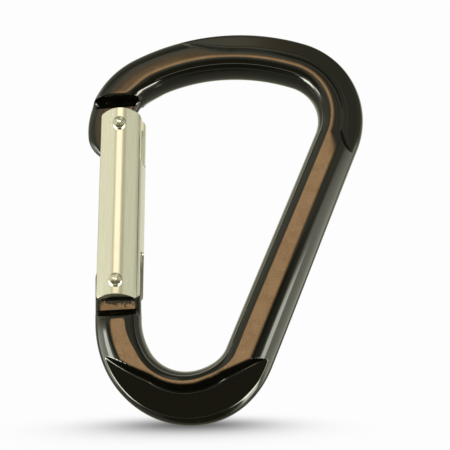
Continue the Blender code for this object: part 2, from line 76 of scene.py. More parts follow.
LUG_CORNERS = (1.4, 3.4)  # corner radii at the lug's top: inner side, outer side
NOSE_CORNERS = (2.4, 7.5)  # and at the nose's tip
INNER_EDGE = 1.1  # rounding of the tongues' inner edges
LUG_EDGE = 1.5  # and of the outer edge of the lug
NOSE_EDGE = 2.6  # and of the nose
EDGE_FADE = 3.5  # length past a step over which it fades out
# pockets: start and end along the centreline, foot of the wall from the inner edge, then length and
# bluntness of the run-outs at start and end
POCKETS = ((22.5, 70.8, 6.0, (14.0, 1.0), (11.0, 0.6)),
           (132.0, 196.8, 8.1, (6.0, 1.0), (13.0, 1.0)))
POCKET_LIP = 3.1  # width of the wall's S-shaped slope
POCKET_FLOOR = 3.9  # mid-plane to pocket floor
RUN_OUT_POWER = 1.7
PIN_X = -29.45
HINGE_Z = 39.25
LATCH_Z = 84.15
NOTCH_PLAY = 0.05  # room round the latch rivet, on top of GAP
NOTCH_STRAIGHT = 3.0  # where its notch starts to flare
NOTCH_MOUTH = 9.0  # where it ends
NOTCH_FLARES = (1.6, 0.6)  # how far it flares: below, above
GATE_BOTTOM = 34.05
GATE_TOP = 88.75
GATE_HALF = 5.7  # half width at the front edges
GATE_SIDE = 6.35  # half width at mid-depth
GATE_EDGE = 4.7  # mid-plane to front edges
GATE_FACE = 6.5  # mid-plane to the crown of the front face
GATE_TOP_ARC = 1.8  # rise of the cheeks' round top
CHEEK_HALF = 5.75  # half width of the upper cheeks
CHEEK_CORNER = 1.2  # size of their round corners
END_CHAMFER = 1.45  # chamfer under the cheeks: height at the crown
END_CHAMFER_DEPTH = 1.8  # and reach from the crown
END_CORNER = 0.8  # chamfer of the cheeks' lower corners
SLOT_HALF = 2.75
LOWER_SLOT_END = 46.75
UPPER_SLOT_END = 73.65
SHOULDER = 0.9  # drop of the slots' ends at the gate's sides
SHOULDER_WIDTH = 1.05  # width of that slope from the front edges
PIN_RADIUS = 1.45
HEAD_RADIUS = 1.95
HEAD_RISE = 0.75
DIMPLE_RADIUS = 0.55
DIMPLE_DEPTH = 0.3
HEAD_Y = 6.6  # mid-plane to the underside of a head
GAP = 0.3  # between a piece and its neighbour
BORE_X = PIN_X + 1.2
BORE_RADIUS = 2.2
BORE_TOP = 63.25
PLUNGER_RADIUS = 1.9
PLUNGER_HEAD = 1.9  # height of its flat head
STEM_RADIUS = 0.85
STEM_TOP = 54.35
COIL_RADIUS = 1.45
WIRE_RADIUS = 0.3
COIL_TURNS = 9

# ---- finer detail of the visible pieces ----
STEP_LIP = 0.9  # rounding where a step meets the flat
FLOOR_FALL = 0.3  # fall of the pocket floor from its wall to its rim
FLOOR_WIDTH = 9.0  # width over which it is reached
EDGE_SHARE = 0.97  # share of the inner round's quarter ellipse that is used
RIM_FILLET = 0.35  # rounding of a pocket's rim, on each side
LEAST_FLAT = 0.2  # least width of flat between the inner round and a pocket
GATE_CORNER = 0.5  # between the gate's faces and sides
GATE_BEVEL = 0.28  # at its other edges
SLOT_CORNER = 0.8  # in the slots' ends
HEAD_SKIRT = 0.15  # upright part of a head under its dome
HEAD_BREAK = (0.08, 0.12)  # its lower edge: width, height
DIMPLE_SHARES = (0.3, 0.55, 0.75, 0.9)  # places on the dimple
DIMPLE_BLUNTNESS = 0.7
PLUNGER_CHAMFER = 0.25
PLUNGER_EDGE = 0.12
STEM_FILLET = 0.15

# ---- how finely the pieces are drawn ----
RAIL_POINTS = 11
ROUND_POINTS = 10
FLAT_POINTS = 26
LIP_POINTS = 14
FLOOR_POINTS = 8
RIM_POINTS = 5
OUTER_POINTS = 14
POCKET_NEAR = 9.0  # length beside a pocket over which mesh lines spread out again
SPLIT_DEPTH = 4.4  # depth where the face's lines end if there is no pocket
TRACE_POINTS = 240  # points on a curve that is searched
SOLVE_STEPS = 40  # halvings that close in on the rim
CLEAR_CUT = 1e-6  # depth from which a pocket counts as cut
STATION_STEP = 0.5  # spacing of the sections along the bar
LUG_FINE = (3.6, 0.15)  # length and spacing at the lug's top
NOSE_FINE = (7.6, 0.15)  # at the nose's tip
STEP_FINE = (0.1, 0.09)  # margin and spacing over a step
TIP_FINE = (0.2, 3.0, 0.12)  # margin, length and spacing at a pocket's ends
RUN_OUT_FINE = (14.0, 0.25)  # length and spacing over the run-outs
EDGE_BEYOND = 15.0  # how far the bar's edges run on past its ends
EDGE_SPACING = 0.2
EDGE_SEARCH = 14.0  # how far away a section may meet them
BORE_STEPS = 64  # points round a bore
COIL_STEPS = 32  # and in one turn of the spring
SHARP_ANGLE = 24.0  # degrees
COIL_ANGLE = 50.0
CROWN_GAP = 0.03  # gap within which a face lies on the gate's crown
WELD = 0.000003  # metres: nearer points become one
TURNED_WELD = 0.000002  # metres: and on turned pieces

# ---- painted bronze reflection (sheen) on the flats, and walls of the frame dulled as painted shade ----
FLAT_FADE_IN = 0.22  # fading of the sheen at the inner edge of a flat
# at the ends of the stretches: fading at the outer edge, and how far it runs on over the outer round
SHEEN_FADES = (0.7, 0.7, 0.7, 0.8, 0.9, 0.9, 1.2, 2.6, 2.2, 0.8)
SHEEN_OVERS = (0.4, 0.9, 3.4, 0.0, 2.2, 0.0, 0.0, 0.0, 0.0, 0.0)
# places along the bar, and how strong the sheen is there away from the inner edge
SHEEN_PLACES = (0.0, 16.0, 129.0, 129.2, 160.0, 188.0, 206.0, 222.0, 239.0)
SHEEN_LEVELS = (0.9, 1.0, 1.0, 0.02, 0.02, 0.15, 0.42, 0.46, 0.44)
SHEEN_RIM = 0.9  # width of the full sheen along the inner edge
SHEEN_FAN = ((129.0, 6.0), (131.5, 3.6), (135.5, SHEEN_RIM))  # place and width as it leaves the spine
SHEEN_REACH = 0.6  # how far the sheen runs on over a pocket's lip
SHEEN_STEP = 0.5  # where the sheen starts past a step
SHEEN_CORNER = 1.5  # radius of its corners there
FACE_GAP = 0.25  # depth that still counts as a tongue's face
POCKET_FADE = (0.6, 0.8)  # pocket floor: start before the wall's foot, fading
WALL_FADE_IN = 0.5  # pocket wall: fading at its lip
WALL_FADE_OUT = (1.0, 0.8)  # start before its foot, fading
WALL_CUT = 0.2  # depth of cut from which it counts in full
STEP_FADE = (0.3, 0.2)  # step's wall: start under its edge, fading
SHARE_NAMES = ("painted_sheen_share", "pocket_share", "wall_share")
STRIP_HEIGHT = 1.4  # strip of painted reflection on the lug, under the gate's painted shade: height above the hinge step
RAGGED_REACH = 7.0  # how far noise can move its upper edge
RAGGED_SOFTNESS = 0.25
LUG_REACH = (12.0, 8.0)  # extent of the lug from the hinge: across, up

# ---- materials ----
FRAME_BLACK = (0.0018, 0.0016, 0.0008)
FRAME_OLIVE = (0.0026, 0.0025, 0.0013)
# pocket floors: a lighter, warmer black painted in for the dim light they reflect
POCKET_BLACK = (0.0030, 0.0024, 0.0008)
# painted reflection: the bronze that the flats show is painted into their base colour
PAINTED_SHEEN = (0.275, 0.166, 0.080)
PAINTED_SHEEN_DARK = (0.228, 0.136, 0.063)
PAINTED_SHEEN_LIGHT = (0.352, 0.224, 0.116)
FRAME_ROUGHNESS = 0.05
FLAT_ROUGHNESS = 0.30  # what the sheen adds
FRAME_IOR = 1.5
FRAME_SHINE = 0.5  # specular level
WALL_SHINE = 0.03  # and of the walls, dulled as painted shade so that they show only dark faces
FLAT_SHINE = 0.25  # share of it that the sheen leaves
GATE_COLOUR = (0.86, 0.85, 0.80)
GATE_SHADE = (0.80, 0.79, 0.74)
GATE_ROUGHNESS = 0.12
STEEL_TARNISH = 0.72  # darkest share of the colour
# steel: slot, material, colour, roughness, scale of the turning marks along the axis
STEELS = (("rivet_steel", "polished_steel", (0.74, 0.71, 0.62), 0.16, 900.0),
          ("spring_steel", "spring_wire", (0.42, 0.42, 0.43), 0.28, 900.0),
          ("plunger_steel", "turned_steel", (0.5, 0.5, 0.5), 0.3, 5000.0))
# noises: scale (per metre), detail, roughness
GRAIN = (2600.0, 3.0, 0.6)
CLOUD = (420.0, 3.0, 0.55)
RAGGED = (1100.0, 5.0, 0.7)
ORANGE_PEEL = (500.0, 1.0, 0.4)
GATE_CLOUD = (260.0, 3.0, 0.55)
STEEL_CLOUD = (700.0, 3.0, 0.6)
GRINDING = (5200.0, 5200.0, 130.0)  # the gate's grinding lines along X, Y and Z
TURNING = 900.0  # the steel's turning marks across the axis
# heights of bumps, in metres
ORANGE_PEEL_HEIGHT = 0.0000025
GRAIN_HEIGHT = 0.000004
GRINDING_HEIGHT = 0.0000012
TURNING_HEIGHT = 0.0000015

# ---- studio ----
BACKDROP = (0.983, 0.983, 0.983)
MATT_LIGHT = (1.0, 1.0, 0.97)
ROOM_ABOVE = (0.37, 0.37, 0.28)
ROOM_BELOW = (0.29, 0.29, 0.22)
HORIZON_SOFTNESS = 8.0  # degrees
# panels: azimuth from the camera, elevation, half width, half height, softness (degrees), brightness
PANELS = (
    ("left wall", -72, 18, 50, 17, 5, (0.84, 0.82, 0.61)),
    ("upper left wall", -75, 30, 55, 9, 5, (0.98, 0.96, 0.72)),
    ("right wall", 80, 8, 50, 14, 6, (0.46, 0.46, 0.34)),
    ("front right", 30, 14, 20, 15, 6, (0.66, 0.65, 0.48)),
    ("front top", 4, 55, 12, 18, 5, (1.15, 1.15, 0.88)),
    ("right of the table", 90, -17, 44, 14, 8, (2.4, 2.4, 1.95)),
    ("left of the table", -82, -16, 33, 14, 8, (3.0, 3.05, 2.5)),
    ("right table, behind", 115, -50, 20, 8, 5, (1.6, 1.6, 1.25)),
    ("deep floor", 0, -78, 180, 12, 6, (0.1, 0.1, 0.06)),
    ("left edge of the table", -38, -30, 10, 14, 3, (1.3, 1.3, 1.0)),
    ("under the camera", -1, -15, 30, 14, 3, (0.17, 0.16, 0.1)),
    ("table in front", -1, -48, 28, 18, 3, (0.1, 0.1, 0.06)),
    ("floor line", -4, -31, 26, 2, 1.4, (2.2, 2.2, 1.75)),
    ("left lamp", -61, -16, 8, 10, 2.5, (11.0, 11.3, 9.6)),
    ("lower left lamp", -65, -33, 18, 10, 3, (20.0, 20.5, 17.5)),
    ("right lamp", 56, -22, 8, 9, 2.5, (9.0, 9.2, 7.8)),
    ("lower right lamp", 66, -44, 30, 9, 3, (18.0, 18.3, 15.5)),
    ("edge of the lower right lamp", 106, -45, 11, 8, 3, (7.0, 7.1, 6.0)),
    ("dark gap beside the window", -8, 16, 17, 16, 4, (0.50, 0.47, 0.33)),
    ("warm frame of the window", -10.5, 18, 12, 14, 2.5, (0.85, 0.68, 0.42)),
    ("window", -10.5, 18, 9, 13, 2, (1.28, 1.20, 0.88)),
)
# panel behind: azimuth where it is full, elevation, half height, brightness; softness each way
BACK_PANEL = (150.0, 17.0, 16.0, (0.74, 0.73, 0.56))
BACK_SOFTNESS = (12.0, 4.0)
CAMERA_PLACE = (16.5, -220.0, 13.83)
CAMERA_AIM = (0.252, 0.0, 55.338)
CAMERA_LENS = 63.3136
FLOOR_HALF = 60.0  # metres
# painted contact shadow on the floor: centre, half sizes, depth
SHADOW_X = -9.5
SHADOW_Y = 3.6
SHADOW_WIDE = 16.0
SHADOW_LONG = 24.0
SHADOW_DEPTH = 0.86


# ---- frame: centreline and sections ----
def arc_radius(half, rise):
    """Radius of an arc from half its chord and its rise."""
    return (half ** 2 + rise ** 2) / (2 * rise)


RAIL_RADIUS = arc_radius(RAIL_HALF, RAIL_HEIGHT)
FACE_RADIUS = arc_radius(GATE_HALF, GATE_FACE - GATE_EDGE)
SIDE_RADIUS = arc_radius(GATE_EDGE, GATE_SIDE - GATE_HALF)


def blend(t):
    """Smooth step from 0 to 1."""
    t = np.clip(t, 0.0, 1.0)
    return t * t * (3.0 - 2.0 * t)


def stretch_at(s):
    """Number of the stretch at distance s from the lug's top, and the distance into it."""
    for number, (length, _) in enumerate(STRETCHES):
        if s <= length or number == len(STRETCHES) - 1:
            return number, s
        s -= length


def centreline(s):
    """Point and heading of the bar's centreline at distance s from the lug's top."""
    x, z = LUG_TOP
    heading = math.radians(START_HEADING)
    last, rest = stretch_at(s)
    for number in range(last + 1):
        length, degrees = STRETCHES[number]
        run = rest if number == last else length
        turn = math.radians(degrees) * run / length
        half = turn / 2
        chord = run if abs(turn) < 1e-9 else run * math.sin(half) / half
        x += chord * math.cos(heading + half)
        z += chord * math.sin(heading + half)
        heading += turn
    return x, z, heading


def value_at(values, s):
    """Value at distance s, from the values at the ends of the stretches."""
    number, rest = stretch_at(s)
    t = float(blend(rest / STRETCHES[number][0]))
    return values[number] * (1 - t) + values[number + 1] * t


def corner_inset(distance, radius):
    """How far a round corner draws an edge in, at a distance from the bar's end."""
    if distance >= radius:
        return 0.0
    return radius - math.sqrt(max(radius ** 2 - (radius - distance) ** 2, 0.0))


def past_step(s):
    """Distance past the foot of the nearer step; it is negative on the lug and the nose."""
    return min(s - HINGE_STEP, FRAME_LENGTH - NOSE_STEP - s)


def runout_at(s):
    return HINGE_RUNOUT if s < FRAME_LENGTH / 2 else NOSE_RUNOUT


def clip_depth(s):
    """Half depth left by the steps of lug and nose, with a rounded lip."""
    reach = past_step(s)
    if reach <= 0:
        return TONGUE_HALF
    height = HALF_DEPTH - TONGUE_HALF
    runout = runout_at(s)
    lip_start = runout * math.sqrt(1 - (STEP_LIP / height) ** 2)
    if reach <= lip_start:
        return TONGUE_HALF + height * (1 - math.sqrt(1 - (reach / runout) ** 2))
    if reach >= runout + STEP_LIP:
        return HALF_DEPTH
    # quadratic curve from the wall to the flat
    a = lip_start - 2 * runout + (runout + STEP_LIP)
    b = 2 * (runout - lip_start)
    c = lip_start - reach
    t = (-b + math.sqrt(max(b * b - 4 * a * c, 0.0))) / (2 * a)
    return (HALF_DEPTH - STEP_LIP) * (1 - t) ** 2 + 2 * HALF_DEPTH * t * (1 - t) + HALF_DEPTH * t * t


def pocket_foot(s, width):
    """Foot of the pocket's wall across the width, and how near the pocket is: 1 in it, fading beside it."""
    near = 0.0
    for start, end, middle, first_end, last_end in POCKETS:
        if start < s < end:
            runs = [(1 - (1 - min(past / length, 1.0)) ** RUN_OUT_POWER) ** bluntness
                    for past, (length, bluntness) in ((s - start, first_end), (end - s, last_end))]
            return middle + (width - middle) * (1 - min(runs)), 1.0
        near = max(near, 1 - float(blend(max(start - s, s - end) / POCKET_NEAR)))
    return width, near


def edge_rounding(s):
    """Rounding of the inner and of the outer edge, which only the lug and the nose have."""
    fade = 1 - float(blend(past_step(s) / EDGE_FADE))
    outer = LUG_EDGE if s < FRAME_LENGTH / 2 else NOSE_EDGE
    return INNER_EDGE * fade, outer * fade


def quarter(depth, half):
    """Fall of a quarter of an ellipse, 0 on the mid-plane and 1 at the depth half."""
    return 1 - np.sqrt(np.maximum(1 - (np.minimum(depth, half) / half) ** 2, 0.0))


def number_at_length(points, length):
    """Number of the point that lies a given length along a traced curve."""
    gaps = np.linalg.norm(np.diff(points, axis=0), axis=1)
    return min(int(np.searchsorted(np.cumsum(gaps), length)) + 1, len(points) - 1)


class Section:
    """Section of the bar at distance s, on one side of the mid-plane.

    Its points are (across, depth): across from the inner edge, depth from the mid-plane.
    """

    def __init__(self, s):
        self.s = s
        self.width = value_at(WIDTHS, s)
        self.inner_round = value_at(INNER_ROUNDS, s)
        self.outer_round = value_at(OUTER_ROUNDS, s)
        self.clip = clip_depth(s)
        self.inner_edge, self.outer_edge = edge_rounding(s)
        self.foot, self.near = pocket_foot(s, self.width)
        self.pocket = self.near == 1.0
        self.flat_start = float(self.inner_at(np.array(self.clip)))
        self.rim, self.rim_depth = self.find_rim()

    def inner_at(self, depth):
        edge = self.inner_edge * quarter(depth, TONGUE_HALF)
        held = np.minimum(depth, RAIL_HALF)
        rail = RAIL_RADIUS - np.sqrt(np.maximum(RAIL_RADIUS ** 2 - held ** 2, 0))
        past = (np.maximum(depth, RAIL_HALF) - RAIL_HALF) / (HALF_DEPTH - RAIL_HALF)
        fall = quarter(past * EDGE_SHARE, 1.0)
        rounded = RAIL_HEIGHT + self.inner_round * fall / quarter(EDGE_SHARE, 1.0)
        return np.where(depth <= RAIL_HALF, np.maximum(rail, edge), rounded)

    def outer_at(self, depth):
        edge = self.outer_edge * quarter(depth, TONGUE_HALF)
        return self.width - np.maximum(self.outer_round * quarter(depth, HALF_DEPTH), edge)

    def outer_depth(self, across):
        """Depth of the outer round, the inverse of outer_at."""
        reach = 1 - ((across - self.width + self.outer_round) / self.outer_round) ** 2
        rounded = HALF_DEPTH * np.sqrt(np.maximum(reach, 0))
        return np.where(across > self.width - self.outer_round, rounded, HALF_DEPTH)

    def pocket_at(self, across):
        wall = blend((across - self.foot) / POCKET_LIP + 1.0)
        fall = FLOOR_FALL * np.clip((across - self.foot + POCKET_LIP) / FLOOR_WIDTH, 0, None)
        return HALF_DEPTH - (HALF_DEPTH - POCKET_FLOOR + fall) * wall

    def top_at(self, across):
        level = np.minimum(self.outer_depth(across), self.clip)
        return np.minimum(level, self.pocket_at(across)) if self.pocket else level

    def find_rim(self):
        """The outermost place where the pocket cuts the outer round, or a set depth where it doesn't."""
        depth = min(self.clip, SPLIT_DEPTH)
        if self.pocket:
            tried = np.linspace(self.width, self.flat_start, TRACE_POINTS)
            cut = self.pocket_at(tried) < self.outer_depth(tried) - CLEAR_CUT
            first = int(np.argmax(cut))
            if cut.any() and tried[first] > self.width - self.outer_round:
                low = tried[first]
                high = tried[first - 1]
                for _ in range(SOLVE_STEPS):
                    middle = (low + high) / 2
                    if self.pocket_at(middle) < self.outer_depth(middle):
                        low = middle
                    else:
                        high = middle
                return low, float(self.pocket_at(low))
        return float(self.outer_at(np.array(depth))), depth

    def inner_side(self):
        """Points of the rail and of the round up to the flat."""
        crest = min(self.clip, RAIL_HALF)
        if self.clip <= RAIL_HALF:
            rail = crest * np.sin(np.linspace(0, math.pi / 2, RAIL_POINTS))
        else:
            rail = np.linspace(0, crest, RAIL_POINTS)
        rounded = crest + (self.clip - crest) * np.sin(np.linspace(0, math.pi / 2, ROUND_POINTS))[1:]
        depths = np.concatenate((rail, rounded))
        return np.column_stack((self.inner_at(depths), depths))

    def face(self, limit):
        """Points from the flat's start to the limit, closest together on a pocket's wall."""
        tangent = self.width - self.outer_round if self.clip >= HALF_DEPTH else limit
        plain = min(tangent, limit)
        lip = min(max(self.foot - POCKET_LIP, self.flat_start + LEAST_FLAT), limit)
        lip = plain + (lip - plain) * self.near
        plain = (lip + limit) / 2
        wall_end = plain + (min(max(self.foot, lip), limit) - plain) * self.near
        across = np.concatenate((np.linspace(self.flat_start, lip, FLAT_POINTS)[1:],
                                 np.linspace(lip, wall_end, LIP_POINTS)[1:],
                                 np.linspace(wall_end, limit, FLOOR_POINTS)[1:]))
        return np.column_stack((across, self.top_at(across)))

    def outline(self):
        """Points from the inner to the outer edge.

        The corner at the rim is rounded: both curves stop short of it, and a quadratic curve joins them.
        """
        back = np.linspace(self.rim, max(self.flat_start, self.rim - 4 * RIM_FILLET), TRACE_POINTS)
        traced = np.column_stack((back, self.top_at(back)))
        before = traced[number_at_length(traced, RIM_FILLET)]
        turns = np.linspace(0, math.pi / 2, TRACE_POINTS)
        down = self.rim_depth * np.cos(turns)
        traced = np.column_stack((self.outer_at(down), down))
        number = number_at_length(traced, RIM_FILLET)
        after = traced[number]
        corner = np.array((self.rim, self.rim_depth))
        t = np.linspace(0, 1, RIM_POINTS)[1:, None]
        joint = before * (1 - t) ** 2 + 2 * corner * t * (1 - t) + after * t ** 2
        rest = self.rim_depth * np.cos(np.linspace(turns[number], math.pi / 2, OUTER_POINTS))[1:]
        outer = np.column_stack((self.outer_at(rest), rest))
        return np.vstack((self.inner_side(), self.face(before[0]), joint, outer))

    def painted_sheen_share(self, across, depth):
        """Strength of the painted sheen, a reflection painted into the base colour: only on faces parallel
        to the mid-plane, fading at their edges.
        """
        face_end = self.width - self.outer_edge
        if self.clip >= HALF_DEPTH:
            face_end = self.width - self.outer_round + value_at(SHEEN_OVERS, self.s)
            if self.pocket:
                face_end = min(self.foot - POCKET_LIP + SHEEN_REACH, face_end)
        inside = across - self.flat_start
        fade = np.minimum(inside / FLAT_FADE_IN, (face_end - across) / value_at(SHEEN_FADES, self.s))
        past = past_step(self.s)
        ahead = past - runout_at(self.s) - SHEEN_STEP
        if 0 < past < runout_at(self.s) + SHEEN_STEP + SHEEN_CORNER:
            side = np.minimum(inside, face_end - across)
            gap = np.hypot(np.maximum(SHEEN_CORNER - side, 0), max(SHEEN_CORNER - ahead, 0))
            fade = np.minimum(fade, (SHEEN_CORNER - gap) / FLAT_FADE_IN)
            inside = np.minimum(inside, ahead)
        base = np.interp(self.s, SHEEN_PLACES, SHEEN_LEVELS)
        rim_width = np.interp(self.s, *zip(*SHEEN_FAN))
        level = base + (1 - base) * np.exp(-(np.maximum(inside, 0) / rim_width) ** 4)
        on_tongue = (depth > self.clip - FACE_GAP) & (self.clip <= TONGUE_HALF)
        return np.where(on_tongue | (self.clip >= HALF_DEPTH), blend(fade) * level, 0.0)

    def pocket_share(self, across):
        start, width = POCKET_FADE
        share = blend((across - self.foot + start) / width) * (across <= self.rim)
        return share if self.pocket else np.zeros(len(across))

    def wall_share(self, across, depth):
        """Share of wall, on the lower pocket's wall and on those of both steps."""
        if self.pocket and self.s < FRAME_LENGTH / 2:
            end, width = WALL_FADE_OUT
            share = blend((across - self.foot + POCKET_LIP) / WALL_FADE_IN)
            share = share * (1 - blend((across - self.foot + end) / width))
            return share * blend((self.outer_depth(across) - self.pocket_at(across)) / WALL_CUT)
        if TONGUE_HALF < self.clip < HALF_DEPTH - STEP_LIP / 2:
            start, width = STEP_FADE
            return blend((depth - self.clip + start) / width)
        return np.zeros(len(across))

    def shares(self, points):
        """The shares at each point, in the order of SHARE_NAMES."""
        across, depth = points.T
        return self.painted_sheen_share(across, depth), self.pocket_share(across), self.wall_share(across, depth)


def end_insets(s):
    """How far the round corners of both ends draw in the inner and the outer edge."""
    lug = s
    nose = FRAME_LENGTH - s
    return [corner_inset(lug, LUG_CORNERS[i]) + corner_inset(nose, NOSE_CORNERS[i]) for i in (0, 1)]


def edge_curve(side):
    """Points of one edge of the bar, square to the centreline, run on straight past both ends."""
    distances = np.arange(-EDGE_BEYOND, FRAME_LENGTH + EDGE_BEYOND, EDGE_SPACING)
    rows = []
    for s in distances:
        held = min(max(s, 0.0), FRAME_LENGTH)
        x, z, heading = centreline(held)
        reach = side * value_at(WIDTHS, held) / 2
        beyond = s - held
        rows.append((x - math.sin(heading) * reach + math.cos(heading) * beyond,
                     z + math.cos(heading) * reach + math.sin(heading) * beyond))
    return distances, np.array(rows)


EDGES = {side: edge_curve(side) for side in (1, -1)}


def reach_to_edge(s, direction, side):
    """Distance from the centreline to an edge, along a direction that may be askew."""
    x, z, _ = centreline(s)
    distances, rows = EDGES[side]
    near = np.abs(distances - s) < EDGE_SEARCH
    dx = rows[near, 0] - x
    dz = rows[near, 1] - z
    across = direction[0] * dz - direction[1] * dx
    along = side * (direction[0] * dx + direction[1] * dz)
    change = np.nonzero((across[:-1] >= 0) != (across[1:] >= 0))[0]
    best = value_at(WIDTHS, s) / 2
    for i in change:
        share = across[i] / (across[i] - across[i + 1])
        reach = along[i] + (along[i + 1] - along[i]) * share
        if reach > 0:
            best = reach
    return best


def level_share(s):
    """1 where the section lies level, 0 where it is square to the centreline."""
    near, far = LUG_SQUARE if s < FRAME_LENGTH / 2 else NOSE_SQUARE
    end = min(s, FRAME_LENGTH - s)
    share = min(max((end - near) / (far - near), 0.0), 1.0)
    return 1 - float(blend(share ** SQUARE_EASE))


def ring(s):
    """Closed section in space at distance s, with the three shares at each point."""
    section = Section(s)
    half = section.outline()
    x, z, heading = centreline(s)
    square = heading + math.pi / 2
    whole_turn = 360 if s > FRAME_LENGTH / 2 else 0
    lean = level_share(s) * (math.radians(STEP_TILT + whole_turn) - square)
    inward = (math.cos(square + lean), math.sin(square + lean))
    inner_inset, outer_inset = end_insets(s)
    inner_reach = reach_to_edge(s, inward, 1) - inner_inset
    outer_reach = reach_to_edge(s, inward, -1) - outer_inset
    scale = (inner_reach + outer_reach) / section.width
    offset = inner_reach - half[:, 0] * scale
    side = np.column_stack((x + inward[0] * offset, -half[:, 1], z + inward[1] * offset))
    mirrored = side[::-1][1:-1] * (1, -1, 1)
    shares = [np.concatenate((v, v[::-1][1:-1])) for v in section.shares(half)]
    return np.vstack((side, mirrored)) * MM, shares


def stations():
    """Distances along the centreline where the frame has a section: closer where the shape changes fast."""
    nose_foot = FRAME_LENGTH - NOSE_STEP
    margin, step = STEP_FINE
    fine = [(0.0, *LUG_FINE), (FRAME_LENGTH - NOSE_FINE[0], FRAME_LENGTH, NOSE_FINE[1]),
            (HINGE_STEP - margin, HINGE_STEP + HINGE_RUNOUT + STEP_LIP + margin, step),
            (nose_foot - NOSE_RUNOUT - STEP_LIP - margin, nose_foot + margin, step)]
    margin, tip, tip_step = TIP_FINE
    run, run_step = RUN_OUT_FINE
    for start, end, *_ in POCKETS:
        fine += [(start - margin, start + tip, tip_step), (end - tip, end + margin, tip_step),
                 (start + tip, start + run, run_step), (end - run, end - tip, run_step)]
    places = [0.0]
    while places[-1] < FRAME_LENGTH:
        s = places[-1]
        step = STATION_STEP
        for low, high, fine_step in fine:
            if low - STATION_STEP < s < high:
                step = min(step, max(fine_step, low - s))
        places.append(min(s + step, FRAME_LENGTH))
    return places


def weld(mesh, distance, dissolve=False):
    """Makes points closer than the distance one and turns the faces outward."""
    bm = bmesh.new()
    bm.from_mesh(mesh)
    bmesh.ops.remove_doubles(bm, verts=bm.verts, dist=distance)
    if dissolve:
        bmesh.ops.dissolve_degenerate(bm, dist=distance / 3, edges=bm.edges)
    bmesh.ops.recalc_face_normals(bm, faces=bm.faces)
    bm.to_mesh(mesh)
    bm.free()


def mesh_from_rings(name, rings, shares):
    """Closed body through rings of equal length, capped at both ends, with named point attributes."""
    count = len(rings[0])
    rows = len(rings)
    i = np.arange(count)
    j = (i + 1) % count
    band = np.column_stack((i, j, j + count, i + count))
    faces = np.vstack([band + row * count for row in range(rows - 1)]).tolist()
    faces += [i[::-1].tolist(), (i + (rows - 1) * count).tolist()]
    mesh = bpy.data.meshes.new(name)
    mesh.from_pydata(np.vstack(rings).tolist(), [], faces)
    for label, values in shares.items():
        attribute = mesh.attributes.new(label, "FLOAT", "POINT")
        attribute.data.foreach_set("value", np.concatenate(values).astype(np.float32))
    weld(mesh, WELD, dissolve=True)
    return mesh


# ---- simple solids ----
def new_object(name, data):
    item = bpy.data.objects.new(name, data)
    bpy.context.scene.collection.objects.link(item)
    return item


def object_from_bmesh(name, bm):
    mesh = bpy.data.meshes.new(name)
    bm.to_mesh(mesh)
    bm.free()
    return new_object(name, mesh)


def cylinder(name, radius, low, high, centre, axis):
    """Cylinder along Y or Z between low and high on that axis; centre gives the other two places."""
    bm = bmesh.new()
    bmesh.ops.create_cone(bm, cap_ends=True, segments=BORE_STEPS, radius1=radius * MM, radius2=radius * MM,
                          depth=(high - low) * MM)
    middle = (low + high) / 2
    if axis == "Y":
        bmesh.ops.rotate(bm, verts=bm.verts, matrix=Matrix.Rotation(math.pi / 2, 3, "X"))
        place = Vector((centre[0], middle, centre[1])) * MM
    else:
        place = Vector((centre[0], centre[1], middle)) * MM
    bmesh.ops.translate(bm, verts=bm.verts, vec=place)
    return object_from_bmesh(name, bm)


def prism(name, outline, low, high, axis):
    """Flat outline thickened from low to high along an axis. The outline's own axes are the two others."""
    order = {"X": (2, 0, 1), "Y": (0, 2, 1), "Z": (0, 1, 2)}[axis]
    bm = bmesh.new()
    layers = []
    for level in (low, high):
        layers.append([bm.verts.new(Vector([(u, v, level)[k] for k in order]) * MM) for u, v in outline])
    bm.faces.new(layers[0])
    bm.faces.new(layers[1][::-1])
    count = len(outline)
    for i in range(count):
        j = (i + 1) % count
        bm.faces.new((layers[0][i], layers[0][j], layers[1][j], layers[1][i]))
    bmesh.ops.recalc_face_normals(bm, faces=bm.faces)
    return object_from_bmesh(name, bm)


def arc(centre, radius, start, end, count):
    """Points along an arc between two angles in degrees, count + 1 of them."""
    angles = [math.radians(start + (end - start) * i / count) for i in range(count + 1)]
    return [(centre[0] + radius * math.cos(a), centre[1] + radius * math.sin(a)) for a in angles]


def quadratic(start, corner, end, count):
    """Points along a quadratic curve, count + 1 of them."""
    points = []
    for k in range(count + 1):
        t = k / count
        mixed = start * (1 - t) ** 2 + corner * 2 * t * (1 - t) + end * t * t
        points.append((mixed.x, mixed.y))
    return points


def round_corners(outline, radii):
    """Outline with the corners numbered in radii replaced by short quadratic curves."""
    result = []
    for i, point in enumerate(outline):
        if i not in radii:
            result.append(point)
            continue
        corner = Vector(point)
        before = Vector(outline[i - 1])
        after = Vector(outline[(i + 1) % len(outline)])
        start = corner + (before - corner).normalized() * radii[i]
        end = corner + (after - corner).normalized() * radii[i]
        result += quadratic(start, corner, end, 5)
    return result


def boolean(item, cutter, operation="DIFFERENCE"):
    modifier = item.modifiers.new(cutter.name, "BOOLEAN")
    modifier.operation = operation
    modifier.object = cutter
    modifier.solver = "EXACT"


def apply_all(item, cutters=()):
    """Replaces the object's mesh by its evaluated one and removes the cutters."""
    bpy.context.view_layer.update()
    depsgraph = bpy.context.evaluated_depsgraph_get()
    mesh = bpy.data.meshes.new_from_object(item.evaluated_get(depsgraph), preserve_all_data_layers=True,
                                           depsgraph=depsgraph)
    item.modifiers.clear()
    item.data = mesh
    for cutter in cutters:
        bpy.data.objects.remove(cutter, do_unlink=True)


def smooth(item, degrees):
    item.data.shade_smooth()
    item.data.set_sharp_from_angle(angle=math.radians(degrees))


def bevel(item, width, segments, degrees):
    """Rounds the edges whose faces turn by more than the angle."""
    modifier = item.modifiers.new("bevel", "BEVEL")
    modifier.width = width * MM
    modifier.segments = segments
    modifier.limit_method = "ANGLE"
    modifier.angle_limit = math.radians(degrees)
    modifier.miter_outer = "MITER_ARC"


